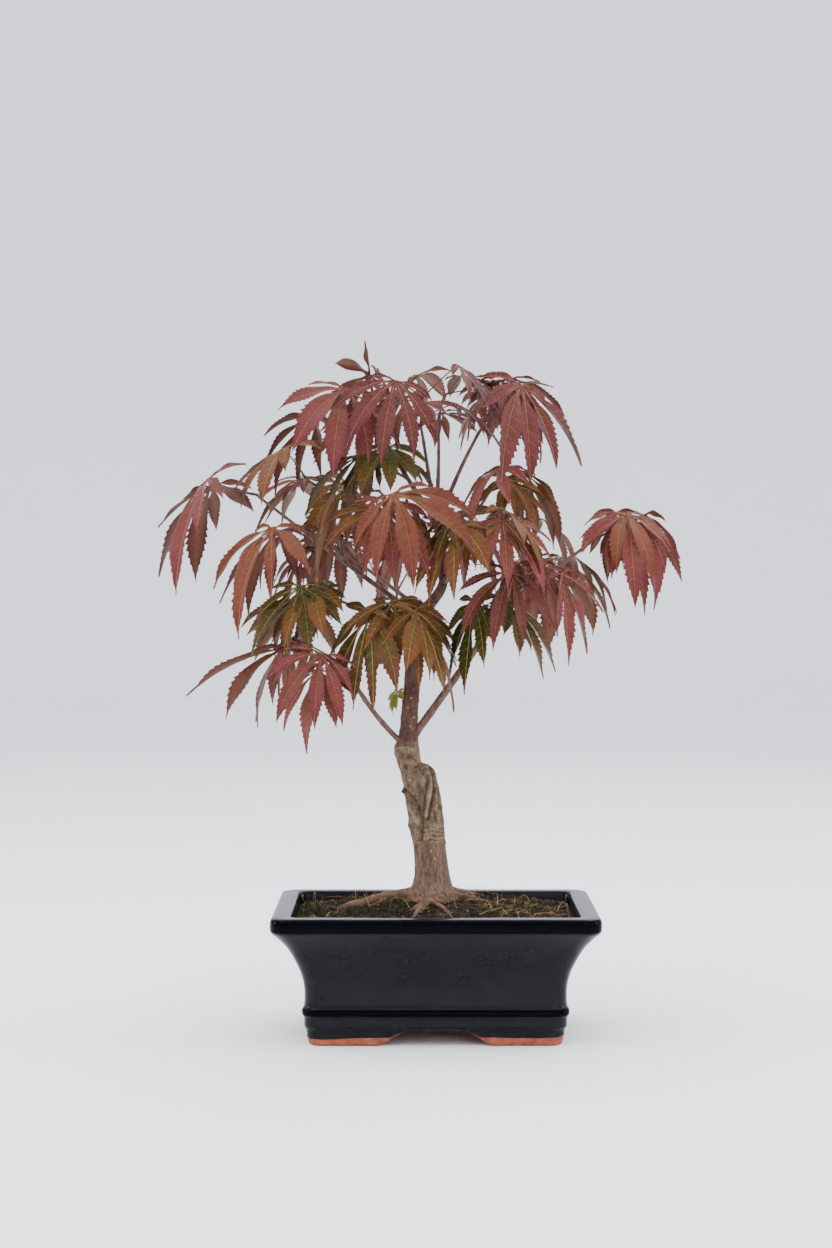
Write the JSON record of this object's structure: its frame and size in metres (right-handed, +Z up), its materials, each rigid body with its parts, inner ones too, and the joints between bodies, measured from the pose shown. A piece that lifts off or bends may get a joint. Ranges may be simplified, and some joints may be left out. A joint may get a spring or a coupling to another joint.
{
  "type": "potted bonsai japanese maple",
  "caption": "Small grafted bonsai tree with drooping palmate red, bronze and olive leaves, in a dark glazed rectangular footed pot with mossy soil and surface roots.",
  "frame": {"origin": "middle of the whole plant's outline seen from above, at the level of the surface that the pot stands on", "axes": "+Z up; +X to the right along the pot's long side; +Y from the front, where the low bough on the right and the graft show, to the back"},
  "size_m": [0.3315, 0.2362, 0.4284],
  "materials": {
    "glaze": "gloss glaze, nearly black with a blue cast",
    "terracotta": "bare fired clay, matt",
    "soil": "loose dark earth with moss and fibres",
    "moss": "low dark green moss",
    "bark": "old grey-tan bark, cracked",
    "young_bark": "smooth purplish brown bark",
    "leaves_red": "satin leaf, maroon red",
    "leaves_bronze": "satin leaf, bronze orange",
    "leaves_olive": "satin leaf, olive green"
  },
  "bodies": {
    "root": {"pot": "glaze", "soil": "soil", "trunk": "bark", "root_left": "bark", "root_front_left": "bark", "root_front_right": "bark", "root_right": "bark", "root_back_right": "bark", "root_back_left": "bark", "bough_low_left": "young_bark", "bough_low_right": "young_bark", "bough_right": "young_bark", "bough_right_front": "young_bark", "bough_right_back": "young_bark", "bough_right_under": "young_bark", "bough_left": "young_bark", "bough_left_up": "young_bark", "bough_left_side": "young_bark", "bough_left_low": "young_bark", "bough_left_back": "young_bark", "bough_front_low": "young_bark", "bough_front_left": "young_bark", "bough_front_right": "young_bark", "bough_mid_right": "young_bark", "bough_back_mid": "young_bark", "bough_back_right": "young_bark", "bough_back_left": "young_bark", "bough_upper_left": "young_bark", "bough_crest": "young_bark", "bough_upper_in": "young_bark", "bough_upper_mid": "young_bark", "bough_upper_back": "young_bark", "bough_upper_right": "young_bark", "foliage_low_left": "leaves_red", "foliage_right": "leaves_red", "foliage_right_front": "leaves_red", "foliage_right_back": "leaves_bronze", "foliage_right_under": "leaves_olive", "foliage_left": "leaves_red", "foliage_left_up": "leaves_bronze", "foliage_left_side": "leaves_red", "foliage_left_low": "leaves_olive", "foliage_left_back": "leaves_red", "foliage_front_low": "leaves_olive", "foliage_front_left": "leaves_bronze", "foliage_front_right": "leaves_bronze", "foliage_mid_right": "leaves_bronze", "foliage_back_mid": "leaves_red", "foliage_back_right": "leaves_bronze", "foliage_back_left": "leaves_olive", "foliage_upper_left": "leaves_red", "foliage_crest": "leaves_red", "foliage_upper_in": "leaves_olive", "foliage_upper_mid": "leaves_red", "foliage_upper_back": "leaves_bronze", "foliage_upper_right": "leaves_red"}
  },
  "joints": []
}
